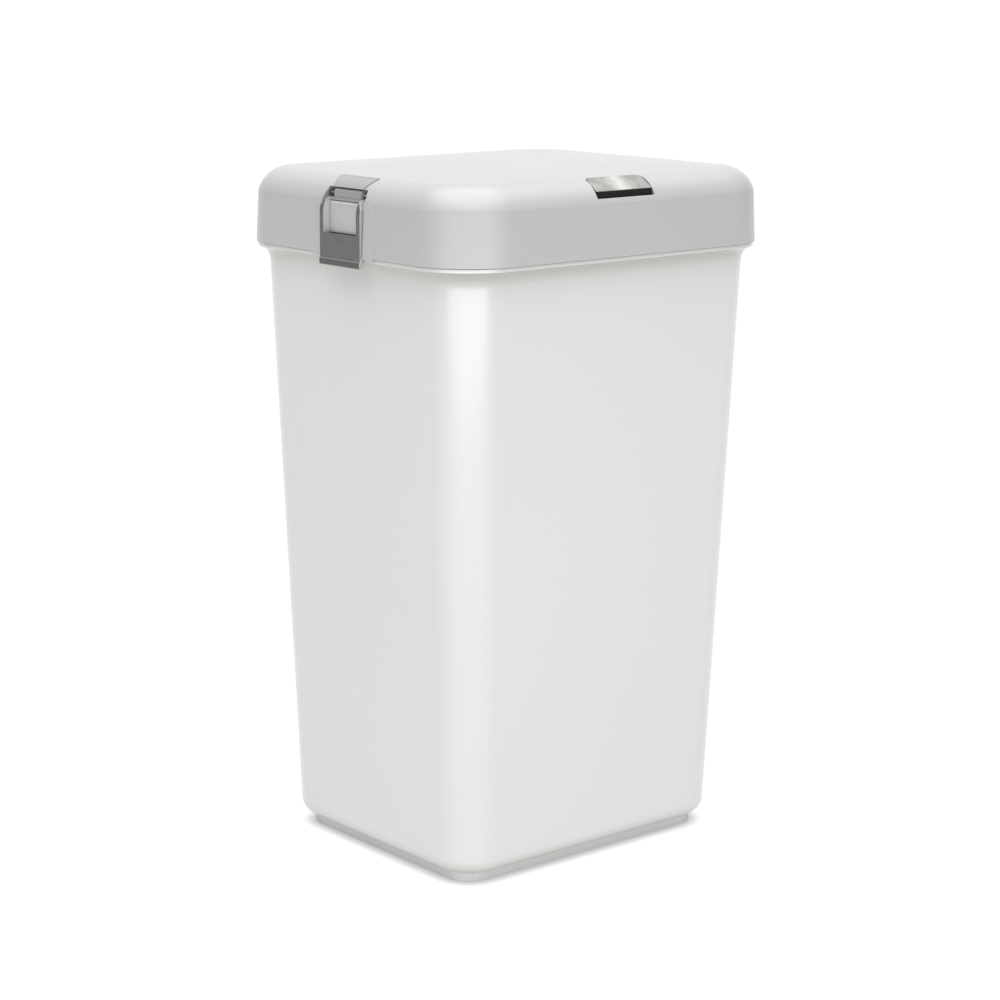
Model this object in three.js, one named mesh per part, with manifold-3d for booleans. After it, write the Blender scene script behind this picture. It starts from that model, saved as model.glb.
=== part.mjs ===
// Free-standing waste bin: a tapered plastic body, a deep cap lid hinged at the rear, a sprung chrome
// catch in the middle of the lid's front shoulder and a clip latch in the middle of each end.
// Millimetres, +Z up. The origin is on the floor, below the middle of the bin. The front faces -Y.
import * as THREE from 'three';
import { mergeVertices } from 'three/addons/utils/BufferGeometryUtils.js';
import Module from 'manifold-3d';

// ---------------------------------------------------------------- driving dimensions

const GAP = 0.3; // between pieces that touch
const CORNER_STEPS = 6; // flats in each rounded corner, seen from above
const ROUND_STEPS = 20; // flats round a pin or a bore
const DEGREE = Math.PI / 180;

const LID = {
  halfX: 180, halfY: 156, corner: 55, // at the top of the upright band
  flare: 2, // how much wider the skirt's lower edge is, each side
  bottom: 533.5, bandTop: 577, shoulderTop: 597, top: 600,
  // the shoulder is an arc that leaves the band and meets the top at a slight crease:
  shoulderFrom: 17 * DEGREE, shoulderTo: 75 * DEGREE, // its slope from upright at each end
  wall: 3,
};
const BODY = {
  halfX: 151, halfY: 127, corner: 34, // at the floor
  draft: 17.5, cornerGrowth: 5, // how much wider, and rounder, it is at the cove
  bottom: 8, heel: 14, coveBottom: 514, coveTop: 529,
  flangeHalfX: 180, flangeHalfY: 156, flangeCorner: 53, flangeTop: 532.5,
  rimHalfX: 168.5, rimHalfY: 144.5, rimCorner: 42, rimTop: 550,
  wall: 2.5, floor: 3, innerHeel: 12,
};
const BASE = { inset: 12, wall: 2.5, floor: 2 }; // foot tray under the body
const HINGE = {
  spread: 90, y: 152, z: 521, // the two knuckles' X and the axis
  knuckle: 4, width: 14, lug: 6, pin: 1.5,
};
const LATCH = {
  y: -4, halfWidth: 27.5, face: 184, back: 180.6, // distances outward from the bin's middle plane
  pivot: 171.5, pivotZ: 583, knuckle: 4.2, knuckleHalf: 18, pin: 1.5,
  lipBottom: 523.5, lipTop: 529.5, lipProud: 0.8,
  windowHalf: 22.5, windowBottom: 550, windowTop: 577.2,
  cheekBack: 172.8, cheekTurn: 572.5, cheekTop: 580, cheekTopHalf: 22.2, barFace: 176.6,
  tabHalf: 22.1, tabFace: 177, tabBack: 174.5, tabTop: 576.8, tabRound: 5.5,
  tabRoom: 171.9, armRoom: 165.5, channelFloor: 179.5, roomMargin: 1,
  roomTurn: 582, roomTop: 587.4, roomTopHalf: 26,
  bossHalf: 33, bossBack: 162.5, bossStep: 552.5, bossFoot: 169.3, bossBottom: 543, bossTop: 592,
  padHalf: 43, padProud: 0.5, padBottom: 531.5, padTurn: 571, padTop: 579,
  coverBottom: 588, coverTop: 596.4, coverHalfBottom: 20.5, coverHalfTop: 26,
  coverProud: 0.7, coverSunk: 1.7,
};
const CATCH = {
  halfWidth: 31, cornerRound: 8, wall: 2.2,
  face: 151.5, faceBottom: 582, faceTop: 587.5, rear: 135.5, rearTop: 597,
  pivot: 145.8, pivotZ: 586, pin: 1.2, knuckle: 2.4,
  stemHalf: 9, stemFront: 149.8, stemBack: 147.6, stemBottom: 544, stemTop: 587,
  pocketMargin: 1, pocketFloor: 579.5,
  housingHalf: 35, housingRear: 131, housingBottom: 573, housingWall: 2.5,
  shelfTop: 576, shelfFront: 145, flangeRear: 118, flangeBottom: 588.5, flangeTop: 590.5,
  screwX: 22, screwY: 124, screwTop: 595, screwHole: 1.8, bossRadius: 4,
};
const STRIKE = { halfWidth: 12, proud: 2.7, bottom: 545.5, top: 548.5 }; // rib that the catch goes under

// ---------------------------------------------------------------- solids and cuts

const wasm = await Module();
wasm.setup();

function solid(geometry) {
  const bare = geometry.clone();
  bare.deleteAttribute('normal');
  bare.deleteAttribute('uv');
  const merged = mergeVertices(bare, 1e-4);
  return new wasm.Manifold(new wasm.Mesh({
    numProp: 3,
    vertProperties: new Float32Array(merged.attributes.position.array),
    triVerts: new Uint32Array(merged.index.array),
  }));
}

function geometryOf(shape) {
  const mesh = shape.getMesh();
  const geometry = new THREE.BufferGeometry();
  geometry.setAttribute('position', new THREE.BufferAttribute(mesh.vertProperties, 3));
  geometry.setIndex(new THREE.BufferAttribute(mesh.triVerts, 1));
  return geometry;
}

const joined = (first, ...others) => others.reduce((sum, other) => sum.add(other), first);
const cut = (first, ...others) => others.reduce((rest, other) => rest.subtract(other), first);

// A box from its lowest corner to its highest corner.
function block(low, high) {
  const size = high.map((value, axis) => value - low[axis]);
  const centre = high.map((value, axis) => (value + low[axis]) / 2);
  return solid(new THREE.BoxGeometry(...size).translate(...centre));
}

// A cylinder along 'x', 'y' or 'z', from one end to the other, at the other two coordinates in order.
function rod(axis, radius, from, to, first, second) {
  const geometry = new THREE.CylinderGeometry(radius, radius, to - from, ROUND_STEPS);
  const middle = (from + to) / 2;
  if (axis === 'x') geometry.rotateZ(Math.PI / 2).translate(middle, first, second);
  if (axis === 'y') geometry.translate(first, middle, second);
  if (axis === 'z') geometry.rotateX(Math.PI / 2).translate(first, second, middle);
  return solid(geometry);
}

// An outline of [outward, z] points or a Shape, extruded symmetrically along Y.
function extrudedAcross(profile, halfWidth) {
  const shape = Array.isArray(profile)
    ? new THREE.Shape(profile.map(([outward, z]) => new THREE.Vector2(outward, z)))
    : profile;
  const options = { depth: 2 * halfWidth, bevelEnabled: false, curveSegments: 5 };
  const geometry = new THREE.ExtrudeGeometry(shape, options);
  return solid(geometry.rotateX(Math.PI / 2).translate(0, halfWidth, 0));
}

// A close-wound coil of round wire that rises along +Z from the origin.
class Helix extends THREE.Curve {
  constructor(radius, height, turns) {
    super();
    Object.assign(this, { radius, height, turns });
  }

  getPoint(t) {
    const angle = t * this.turns * 2 * Math.PI;
    return new THREE.Vector3(
      this.radius * Math.cos(angle), this.radius * Math.sin(angle), this.height * t);
  }
}

function coil(radius, wire, height, turns) {
  const section = new THREE.Shape().absarc(0, 0, wire, 0, 2 * Math.PI, false);
  return new THREE.ExtrudeGeometry(section, {
    extrudePath: new Helix(radius, height, turns), steps: turns * 10, curveSegments: 3,
    bevelEnabled: false,
  });
}

// ---------------------------------------------------------------- lofted shells

// One closed outline of a rounded rectangle at height z, counter-clockwise from above.
function outline(halfX, halfY, corner, z) {
  const points = [];
  [[1, 1], [-1, 1], [-1, -1], [1, -1]].forEach(([sideX, sideY], quarter) => {
    for (let step = 0; step <= CORNER_STEPS; step++) {
      const angle = (quarter + step / CORNER_STEPS) * Math.PI / 2;
      points.push([
        sideX * (halfX - corner) + corner * Math.cos(angle),
        sideY * (halfY - corner) + corner * Math.sin(angle),
        z,
      ]);
    }
  });
  return points;
}

// A closed solid through a stack of outlines, lowest first.
function loft(outlines) {
  const count = outlines[0].length;
  const index = [];
  for (let level = 0; level + 1 < outlines.length; level++) {
    for (let i = 0; i < count; i++) {
      const here = level * count + i;
      const next = level * count + (i + 1) % count;
      index.push(here, next, next + count, here, next + count, here + count);
    }
  }
  const last = (outlines.length - 1) * count;
  for (let i = 1; i + 1 < count; i++) {
    index.push(0, i + 1, i);
    index.push(last, last + i, last + i + 1);
  }
  const geometry = new THREE.BufferGeometry();
  geometry.setAttribute('position', new THREE.Float32BufferAttribute(outlines.flat(2), 3));
  geometry.setIndex(index);
  return solid(geometry);
}

// Values of t from 0 to 1 along a round stretch.
const steps = (count, from = 0) =>
  Array.from({ length: count + 1 - from }, (_, i) => (i + from) / count);

// The lid's outer form, moved inward by inset, standing on any height.
function lidForm(inset, bottom) {
  const { halfX, halfY, corner, bandTop, shoulderTop, shoulderFrom, shoulderTo, top } = LID;
  const at = (run, z) => outline(halfX - run, halfY - run, Math.max(corner - run, 12), z);
  const flare = LID.flare * (bandTop - bottom) / (bandTop - LID.bottom);
  const radius = (shoulderTop - bandTop) / (Math.sin(shoulderTo) - Math.sin(shoulderFrom));
  const runAt = (slope) => radius * (Math.cos(shoulderFrom) - Math.cos(slope));
  const stack = [at(inset - flare, bottom), at(inset, bandTop - inset * 0.3)];
  for (const t of steps(7)) {
    const slope = shoulderFrom + t * (shoulderTo - shoulderFrom);
    const rise = radius * (Math.sin(slope) - Math.sin(shoulderFrom));
    stack.push(at(runAt(slope) + inset * Math.cos(slope), bandTop + rise - inset * Math.sin(slope)));
  }
  for (const t of steps(3, 1)) {
    const z = shoulderTop - inset + (top - shoulderTop) * (1 - (1 - t) ** 2);
    stack.push(at(runAt(shoulderTo) + inset * Math.cos(shoulderTo) + t * 90, z));
  }
  return loft(stack);
}

// The body's wall at a height: half length, half width and corner radius, moved inward by inset.
function wallAt(z, inset = 0) {
  const t = (z - BODY.bottom) / (BODY.coveBottom - BODY.bottom);
  return [
    BODY.halfX + BODY.draft * t - inset,
    BODY.halfY + BODY.draft * t - inset,
    BODY.corner + BODY.cornerGrowth * t - inset,
  ];
}

const shrunk = ([halfX, halfY, corner], by) => [halfX - by, halfY - by, corner - by];

// The rounded lower edge of the body, from the underside up to the wall.
function heel(bottom, radius, inset) {
  return steps(4).map((t) => {
    const angle = t * Math.PI / 2;
    const z = bottom + radius * (1 - Math.cos(angle));
    return outline(...shrunk(wallAt(z, inset), radius * (1 - Math.sin(angle))), z);
  });
}

function bodyForm() {
  const stack = heel(BODY.bottom, BODY.heel, 0);
  const wall = wallAt(BODY.coveBottom);
  const flange = [BODY.flangeHalfX, BODY.flangeHalfY, BODY.flangeCorner];
  for (const t of steps(4)) {
    const angle = t * Math.PI / 2;
    const run = 1 - Math.cos(angle);
    const z = BODY.coveBottom + (BODY.coveTop - BODY.coveBottom) * Math.sin(angle);
    stack.push(outline(...wall.map((value, i) => value + (flange[i] - value) * run), z));
  }
  stack.push(outline(...flange, BODY.flangeTop));
  stack.push(outline(BODY.rimHalfX, BODY.rimHalfY, BODY.rimCorner, BODY.flangeTop));
  stack.push(outline(BODY.rimHalfX, BODY.rimHalfY, BODY.rimCorner, BODY.rimTop));
  return loft(stack);
}

function bodyHollow() {
  const rim = shrunk([BODY.rimHalfX, BODY.rimHalfY, BODY.rimCorner], BODY.wall);
  return loft([
    ...heel(BODY.bottom + BODY.floor, BODY.innerHeel, BODY.wall),
    outline(...wallAt(BODY.coveBottom, BODY.wall), BODY.coveBottom),
    outline(...rim, BODY.flangeTop),
    outline(...rim, BODY.rimTop + 1),
  ]);
}

// ---------------------------------------------------------------- body and base

function binBody() {
  let body = cut(bodyForm(), bodyHollow());
  const { y, z, knuckle, width, lug, pin, spread } = HINGE;
  const wallOuter = wallAt(z)[1];
  for (const side of [-1, 1]) {
    const x = side * spread;
    const lugs = block([x - width / 2 - lug, wallOuter - 1, z - 6], [x + width / 2 + lug, y + 4, z + 9]);
    const notch = block(
      [x - width / 2 - 0.7, wallOuter + 0.6, z - 8], [x + width / 2 + 0.7, y + 20, z + 30]);
    const open = cut(notch, block([x - 20, 0, z + 10.5], [x + 20, BODY.rimHalfY + 0.6, z + 40]));
    const bore = rod('x', pin + GAP, x - width / 2 - lug + 1.5, x + width / 2 + lug + 1, y, z);
    body = cut(joined(body, lugs), open, bore);
  }
  const strike = block(
    [-STRIKE.halfWidth, -BODY.rimHalfY - STRIKE.proud, STRIKE.bottom],
    [STRIKE.halfWidth, -BODY.rimHalfY + 1, STRIKE.top]);
  return joined(body, strike);
}

function baseTray() {
  const size = shrunk(wallAt(BODY.bottom), BASE.inset);
  const top = BODY.bottom - GAP;
  const outer = loft([outline(...size, 0), outline(...size, top)]);
  const inner = loft([
    outline(...shrunk(size, BASE.wall), BASE.floor), outline(...shrunk(size, BASE.wall), top + 1)]);
  return cut(outer, inner);
}

function hingePin(side) {
  const half = HINGE.width / 2 + HINGE.lug;
  const x = side * HINGE.spread;
  return rod('x', HINGE.pin, x - half + 2, x + half, HINGE.y, HINGE.z);
}

// ---------------------------------------------------------------- latches
// Each latch piece is made at the +X end, symmetrical about Y = 0, and is turned round for the other end.

const latchRod = (radius, halfLength) =>
  rod('y', radius, -halfLength, halfLength, LATCH.pivot, LATCH.pivotZ);

// A prism along X: an upright outline, symmetrical about Y = 0, with its two upper corners cut back.
function uprightPrism(halfLow, halfHigh, bottom, turn, top, from, to) {
  const front = new THREE.Shape([
    [-halfLow, bottom], [halfLow, bottom], [halfLow, turn], [halfHigh, top], [-halfHigh, top],
    [-halfLow, turn]].map(([y, z]) => new THREE.Vector2(y, z)));
  const geometry = new THREE.ExtrudeGeometry(front, { depth: to - from, bevelEnabled: false });
  return solid(geometry.rotateX(Math.PI / 2).rotateZ(Math.PI / 2).translate(from, 0, 0));
}

// The solid behind each latch, inside the lid, that its pocket and its pin's bores are made in, and
// the low raised pad round the latch on the outside.
function latchBoss() {
  const { bossHalf, bossBack, bossStep, bossFoot, bossBottom, bossTop } = LATCH;
  const upper = block([bossBack, -bossHalf, bossStep], [LID.halfX, bossHalf, bossTop]);
  const lower = block([bossFoot, -bossHalf, bossBottom], [LID.halfX, bossHalf, bossStep + 1]);
  return joined(upper, lower).intersect(lidForm(1, LID.bottom));
}

function latchPad() {
  const { padHalf, padProud, padBottom, padTurn, padTop } = LATCH;
  const front = uprightPrism(
    padHalf, padHalf - 8, padBottom, padTurn, padTop, LID.halfX - 15, LID.halfX + 15);
  const skirtFace = block([0, -100, 500], [LID.halfX + LID.flare - 1.4, 100, LID.bottom + 0.01]);
  return cut(front.intersect(lidForm(-padProud, padBottom)), lidForm(1, padBottom - 1), skirtFace);
}

// The channel down the band, the pocket behind the tab and knuckle, and the seat of the cover.
function latchRoom() {
  const { windowBottom, pivot, pivotZ, roomTurn, roomTop, roomTopHalf, padBottom, knuckle } = LATCH;
  const far = LATCH.face + 10;
  const half = LATCH.halfWidth + LATCH.roomMargin;
  const low = padBottom - 10;
  const shape = uprightPrism(half, roomTopHalf, low, roomTurn, roomTop, LATCH.armRoom - 5, far);
  const channel = block([LATCH.channelFloor, -half, low], [far, half, windowBottom]);
  const tabRoom = block([LATCH.tabRoom, -half, windowBottom - 2.5], [far, half, windowBottom + 10]);
  const armRoom = block([LATCH.armRoom, -half, windowBottom + 6], [far, half, pivotZ]);
  const mouth = block([pivot, -half, pivotZ - 1], [far, half, roomTop]);
  const barrelRoom = latchRod(knuckle + 0.5, half);
  const bore = latchRod(LATCH.pin + GAP, LATCH.bossHalf - 1.5);
  const rooms = joined(channel, tabRoom, armRoom, mouth, barrelRoom).intersect(shape);
  return joined(rooms, bore, coverBlank(GAP));
}

// The cover's plate on the shoulder, grown by a margin to cut its own seat.
function coverBlank(margin) {
  const low = LATCH.coverBottom - margin;
  const prism = uprightPrism(
    LATCH.coverHalfBottom + margin, LATCH.coverHalfTop + margin, low, low + 0.5,
    LATCH.coverTop + margin, LATCH.face - 30, LATCH.face + 10);
  const proud = lidForm(-LATCH.coverProud - margin, LID.bottom);
  const sunk = lidForm(LATCH.coverSunk + margin, LID.bottom);
  return cut(prism.intersect(proud), sunk);
}

function latchCover() {
  return cut(coverBlank(0), latchRod(LATCH.knuckle + 0.8, 40));
}

// The panel and lip in front of the skirt, as [outward, z].
function panelProfile() {
  const { face, back, lipBottom, lipTop, lipProud, windowBottom } = LATCH;
  const side = new THREE.Shape();
  side.moveTo(back, lipBottom);
  side.lineTo(face - 0.6, lipBottom);
  side.quadraticCurveTo(face + lipProud, lipBottom, face + lipProud, lipBottom + 1.6);
  side.lineTo(face + lipProud, lipTop - 1.5);
  side.quadraticCurveTo(face + lipProud, lipTop, face, lipTop);
  side.lineTo(face, windowBottom);
  side.lineTo(back, windowBottom);
  return side;
}

// A cheek beside the tab, from the panel up to the crossbar, as [outward, z].
function cheekProfile() {
  const { face, cheekBack, windowBottom, cheekTop } = LATCH;
  const side = new THREE.Shape();
  side.moveTo(cheekBack, windowBottom - 1);
  side.lineTo(face, windowBottom - 1);
  side.lineTo(face, cheekTop - 14);
  side.quadraticCurveTo(face, cheekTop - 2, face - 6.5, cheekTop);
  side.lineTo(cheekBack, cheekTop);
  return side;
}

// The swinging arm: a panel with a lip, two cheeks above it, and a crossbar that joins the cheeks to
// the knuckle on the pin. The knuckle is hollow in the middle for the spring.
function latchArm() {
  const { pivot, pivotZ, knuckle, knuckleHalf, halfWidth, windowHalf, windowBottom, windowTop } = LATCH;
  const { cheekBack, cheekTurn, cheekTop, cheekTopHalf, barFace } = LATCH;
  const cheeks = cut(
    extrudedAcross(cheekProfile(), halfWidth),
    block([0, -windowHalf, windowBottom - 5], [300, windowHalf, cheekTop + 1]));
  const bar = block([cheekBack, -halfWidth, windowTop], [barFace, halfWidth, cheekTop - 0.5]);
  const outer = uprightPrism(halfWidth, cheekTopHalf, 500, cheekTurn, cheekTop, 150, 200);
  const neck = block([cheekBack, -knuckleHalf, windowTop + 1], [pivot + 4, knuckleHalf, pivotZ]);
  const springRoom = joined(
    latchRod(3.7, 5), block([pivot - 9, -5, pivotZ - 3.6], [pivot, 5, pivotZ + 3.6]));
  const panel = extrudedAcross(panelProfile(), halfWidth);
  const hung = joined(joined(cheeks, bar).intersect(outer), neck, latchRod(knuckle, knuckleHalf));
  return cut(joined(panel, hung), springRoom, latchRod(LATCH.pin + GAP, halfWidth + 1));
}

// The light release tab between the cheeks, with a rounded top edge to press on.
function latchTab() {
  const { tabFace, tabBack, tabTop, tabRound, windowBottom } = LATCH;
  const side = new THREE.Shape();
  side.moveTo(tabBack, windowBottom + GAP);
  side.lineTo(tabFace, windowBottom + GAP);
  side.lineTo(tabFace, tabTop - tabRound);
  side.quadraticCurveTo(tabFace, tabTop - 0.6, tabBack + 0.6, tabTop);
  side.lineTo(tabBack, tabTop);
  return extrudedAcross(side, LATCH.tabHalf);
}

const latchPin = () => latchRod(LATCH.pin, LATCH.bossHalf - 2);

// ---------------------------------------------------------------- catch
// The catch is also drawn as distances outward, then turned to face the front.

const atFront = (shape) => solid(geometryOf(shape).rotateZ(-Math.PI / 2));

const catchRod = (radius, halfLength) =>
  rod('y', radius, -halfLength, halfLength, CATCH.pivot, CATCH.pivotZ);

// The lever's outline from above, square in front and rounded at the two rear corners.
function catchPlan(margin) {
  const half = CATCH.halfWidth + margin;
  const rear = -CATCH.rear + margin;
  const round = CATCH.cornerRound;
  const plan = new THREE.Shape();
  plan.moveTo(-half, -LID.halfY - 5);
  plan.lineTo(half, -LID.halfY - 5);
  plan.lineTo(half, rear - round);
  plan.quadraticCurveTo(half, rear, half - round, rear);
  plan.lineTo(round - half, rear);
  plan.quadraticCurveTo(-half, rear, -half, rear - round);
  const options = { depth: 100, bevelEnabled: false, curveSegments: 5 };
  return solid(new THREE.ExtrudeGeometry(plan, options).translate(0, 0, LID.bottom));
}

// The chrome lever: a slanted plate, a short upright face, and a stem with a hook inside the skirt.
function catchLever() {
  const { face, faceBottom, faceTop, rear, rearTop, wall } = CATCH;
  const plate = extrudedAcross([
    [face, faceBottom], [face, faceTop - 1], [face - 0.8, faceTop], [rear + 0.8, rearTop],
    [rear, rearTop - 0.8], [rear, rearTop - wall - 1.2], [face - wall, faceTop - wall - 0.4],
    [face - wall, faceBottom],
  ], CATCH.halfWidth);
  const stem = extrudedAcross([
    [CATCH.stemBack, CATCH.stemBottom], [CATCH.stemFront, CATCH.stemBottom + 2],
    [CATCH.stemFront, CATCH.stemTop], [CATCH.stemBack, CATCH.stemTop],
  ], CATCH.stemHalf);
  const bore = catchRod(CATCH.pin + GAP, CATCH.halfWidth + 1);
  const lever = cut(joined(plate, stem, catchRod(CATCH.knuckle, CATCH.halfWidth)), bore);
  return atFront(lever).intersect(catchPlan(0));
}

// The frame inside the lid that carries the lever's pin and its spring.
function catchHousing() {
  const half = CATCH.housingHalf;
  const halfInside = CATCH.halfWidth + CATCH.pocketMargin + GAP;
  const rear = CATCH.housingRear + CATCH.housingWall;
  const outer = block([CATCH.housingRear, -half, CATCH.housingBottom], [CATCH.face, half, LID.top]);
  const inside = block([rear, -halfInside, CATCH.shelfTop], [200, halfInside, LID.top + 20]);
  const well = block([CATCH.shelfFront, -halfInside, 500], [200, halfInside, LID.top + 20]);
  const flange = block(
    [CATCH.flangeRear, -half, CATCH.flangeBottom], [CATCH.housingRear + 1, half, CATCH.flangeTop]);
  const frame = cut(outer, inside, well, catchRod(CATCH.pin + GAP, half - 0.8));
  const holes = [-1, 1].map((side) =>
    rod('z', CATCH.screwHole, CATCH.flangeBottom - 1, CATCH.flangeTop + 1,
      CATCH.screwY, side * CATCH.screwX));
  return atFront(cut(joined(frame, flange), ...holes)).intersect(lidForm(LID.wall + GAP, LID.bottom));
}

const catchPin = () => atFront(catchRod(CATCH.pin, CATCH.housingHalf - 1.2));

// The opening in the front shoulder that the lever shows through.
function catchPocket() {
  return catchPlan(CATCH.pocketMargin)
    .intersect(block([-50, -LID.halfY - 5, CATCH.pocketFloor], [50, 0, LID.top + 5]));
}

// Rods at the two screws of the housing: the lid's bosses, or the holes in them.
function screwBosses(radius, from, to) {
  return [-1, 1].map((side) =>
    rod('z', radius, from, to, side * CATCH.screwX, -CATCH.screwY));
}

function catchScrew(side) {
  const [x, y] = [side * CATCH.screwX, -CATCH.screwY];
  const head = rod('z', 3, CATCH.flangeBottom - 2.3, CATCH.flangeBottom - GAP, x, y);
  const shank = rod('z', 1.5, CATCH.flangeBottom - 1, CATCH.screwTop - GAP, x, y);
  const slot = block([x - 4, y - 0.4, CATCH.flangeBottom - 4], [x + 4, y + 0.4, CATCH.flangeBottom - 1.6]);
  return cut(joined(head, shank), slot);
}

// ---------------------------------------------------------------- lid

function placedAtEnd(shape, side) {
  const geometry = geometryOf(shape);
  if (side < 0) geometry.rotateZ(Math.PI);
  return solid(geometry.translate(0, LATCH.y, 0));
}

function lidShell() {
  let lid = cut(lidForm(0, LID.bottom), lidForm(LID.wall, LID.bottom - 5));
  const { y, z, knuckle, width, pin, spread } = HINGE;
  for (const side of [-1, 1]) {
    const x = side * spread;
    const ear = block([x - width / 2, y - 0.6, z], [x + width / 2, y + 5.6, LID.bottom + 4]);
    const barrel = rod('x', knuckle, x - width / 2, x + width / 2, y, z);
    const bore = rod('x', pin + GAP, x - width, x + width, y, z);
    lid = cut(joined(lid, ear, barrel), bore);
  }
  for (const side of [-1, 1]) {
    const filled = joined(lid, placedAtEnd(latchBoss(), side), placedAtEnd(latchPad(), side));
    lid = cut(filled, placedAtEnd(latchRoom(), side));
  }
  const bosses = screwBosses(CATCH.bossRadius, CATCH.flangeTop + GAP, CATCH.screwTop);
  const holes = screwBosses(CATCH.screwHole, CATCH.flangeTop, CATCH.screwTop);
  return cut(joined(lid, ...bosses), catchPocket(), ...holes);
}

// ---------------------------------------------------------------- materials and assembly

const finish = (color, roughness, metalness = 0) =>
  new THREE.MeshStandardMaterial({ color, roughness, metalness });

const materials = {
  whiteGloss: finish(0xf2f1ec, 0.28),
  greyGloss: finish(0xb9babc, 0.32),
  paleFoot: finish(0xcfcfcd, 0.6),
  silver: finish(0xb4b6b8, 0.35, 0.6),
  gunmetal: finish(0x77797b, 0.4, 0.5),
  chrome: finish(0xdadcdc, 0.08, 1),
  steel: finish(0xa9acae, 0.3, 1),
  innerGrey: finish(0x9a9b9d, 0.55),
};

const bin = new THREE.Group();

function place(name, material, geometry, parent = bin) {
  const mesh = new THREE.Mesh(geometry, material.clone());
  mesh.name = name;
  parent.add(mesh);
  return mesh;
}

place('bin_body', materials.whiteGloss, geometryOf(binBody()));
place('base_tray', materials.paleFoot, geometryOf(baseTray()));
place('lid_shell', materials.greyGloss, geometryOf(lidShell()));
place('catch_lever', materials.chrome, geometryOf(catchLever()));
place('catch_housing', materials.innerGrey, geometryOf(catchHousing()));
place('catch_pin', materials.steel, geometryOf(catchPin()));

const spring = place('catch_spring', materials.steel, coil(2.6, 0.5, 11, 5));
spring.position.set(0, -139.8, CATCH.shelfTop + 1);

for (const [side, word] of [[-1, 'left'], [1, 'right']]) {
  place(`hinge_pin_${word}`, materials.steel, geometryOf(hingePin(side)));
  place(`catch_screw_${word}`, materials.steel, geometryOf(catchScrew(side)));

  const latch = new THREE.Group();
  latch.position.y = LATCH.y;
  if (side < 0) latch.rotation.z = Math.PI;
  bin.add(latch);
  place(`latch_arm_${word}`, materials.gunmetal, geometryOf(latchArm()), latch);
  place(`latch_tab_${word}`, materials.silver, geometryOf(latchTab()), latch);
  place(`latch_cover_${word}`, materials.silver, geometryOf(latchCover()), latch);
  place(`latch_pin_${word}`, materials.steel, geometryOf(latchPin()), latch);
  const torsion = place(`latch_spring_${word}`, materials.steel, coil(2.9, 0.5, 7.6, 6), latch);
  torsion.rotation.x = -Math.PI / 2;
  torsion.position.set(LATCH.pivot, -3.8, LATCH.pivotZ);
}

export default bin;
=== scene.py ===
import math

import bmesh
import bpy
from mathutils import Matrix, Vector


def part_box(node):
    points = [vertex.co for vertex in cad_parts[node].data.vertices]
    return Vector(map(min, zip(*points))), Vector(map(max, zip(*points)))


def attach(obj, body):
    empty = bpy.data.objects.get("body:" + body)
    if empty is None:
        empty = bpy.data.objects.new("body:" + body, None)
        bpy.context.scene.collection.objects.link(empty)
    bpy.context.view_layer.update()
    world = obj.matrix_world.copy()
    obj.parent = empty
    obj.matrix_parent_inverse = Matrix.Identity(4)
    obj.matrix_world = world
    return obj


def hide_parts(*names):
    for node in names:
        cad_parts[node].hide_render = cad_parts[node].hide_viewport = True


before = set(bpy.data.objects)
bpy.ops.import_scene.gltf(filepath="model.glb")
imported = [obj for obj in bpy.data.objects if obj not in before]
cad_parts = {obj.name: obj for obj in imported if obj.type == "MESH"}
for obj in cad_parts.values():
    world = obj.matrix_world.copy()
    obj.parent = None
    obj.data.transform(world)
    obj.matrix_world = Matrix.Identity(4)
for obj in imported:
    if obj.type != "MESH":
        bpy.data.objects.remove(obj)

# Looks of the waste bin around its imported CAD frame. Lengths are written in millimetres and turned
# into metres where a mesh is made. The front of the bin faces -Y and the floor is at z = 0.

MM = 0.001
DEGREE = math.pi / 180

# ---------------------------------------------------------------- driving dimensions

lid_low, lid_high = [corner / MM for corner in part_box("lid_shell")]
body_low, body_high = [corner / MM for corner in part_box("bin_body")]
arm_low, arm_high = [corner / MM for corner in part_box("latch_arm_right")]
pin_low, pin_high = [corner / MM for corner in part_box("latch_pin_right")]
tab_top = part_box("latch_tab_right")[1].z / MM
lever_low, lever_high = [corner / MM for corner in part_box("catch_lever")]

CORNER_STEPS = 20
GAP = 0.3
CREVICE_REACH = 28.0
FLANGE_TOP = 532.5

LID_FLARE = 2.0
LID_PAD_PROUD = 0.5
LID_BOTTOM = FLANGE_TOP + GAP
LID_BAND_TOP = 577.0
LID_SHOULDER_TOP = 597.0
LID_TOP = lid_high.z
LID_HALF_X = body_high.x
LID_HALF_Y = lid_high.y - LID_FLARE
LID_CORNER = 55.0
LID_WALL = 3.0
SHOULDER_FROM = 17 * DEGREE
SHOULDER_TO = 75 * DEGREE

BODY_HALF_X = 151.0
BODY_HALF_Y = 127.0
BODY_CORNER = 34.0
BODY_DRAFT = 17.5
BODY_CORNER_GROWTH = 5.0
BODY_BOTTOM = body_low.z
BODY_HEEL = 14.0
BODY_BOW = 0.8
END_BOW = BODY_BOW * 0.4
LEAST_BOW = 0.001
COVE_BOTTOM = 514.0
COVE_TOP = 529.0
FLANGE = (body_high.x, -body_low.y, 53.0)
RIM = (168.5, 144.5, 42.0)
RIM_TOP = body_high.z
BODY_WALL = 2.5
BODY_FLOOR = 3.0
INNER_HEEL = 12.0

HINGE_SPREAD = 90.0
HINGE_Y = 152.0
HINGE_Z = 521.0
HINGE_KNUCKLE = 4.0
HINGE_WIDTH = 14.0
HINGE_LUG = 6.0
HINGE_LUG_DROP = 6.0
HINGE_LUG_RISE = 9.0
HINGE_SIDE_GAP = 0.7
HINGE_EAR_FRONT = 0.6
HINGE_EAR_BACK = 5.6
HINGE_EAR_ROOT = 4.0
HINGE_PIN = 1.5

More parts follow.
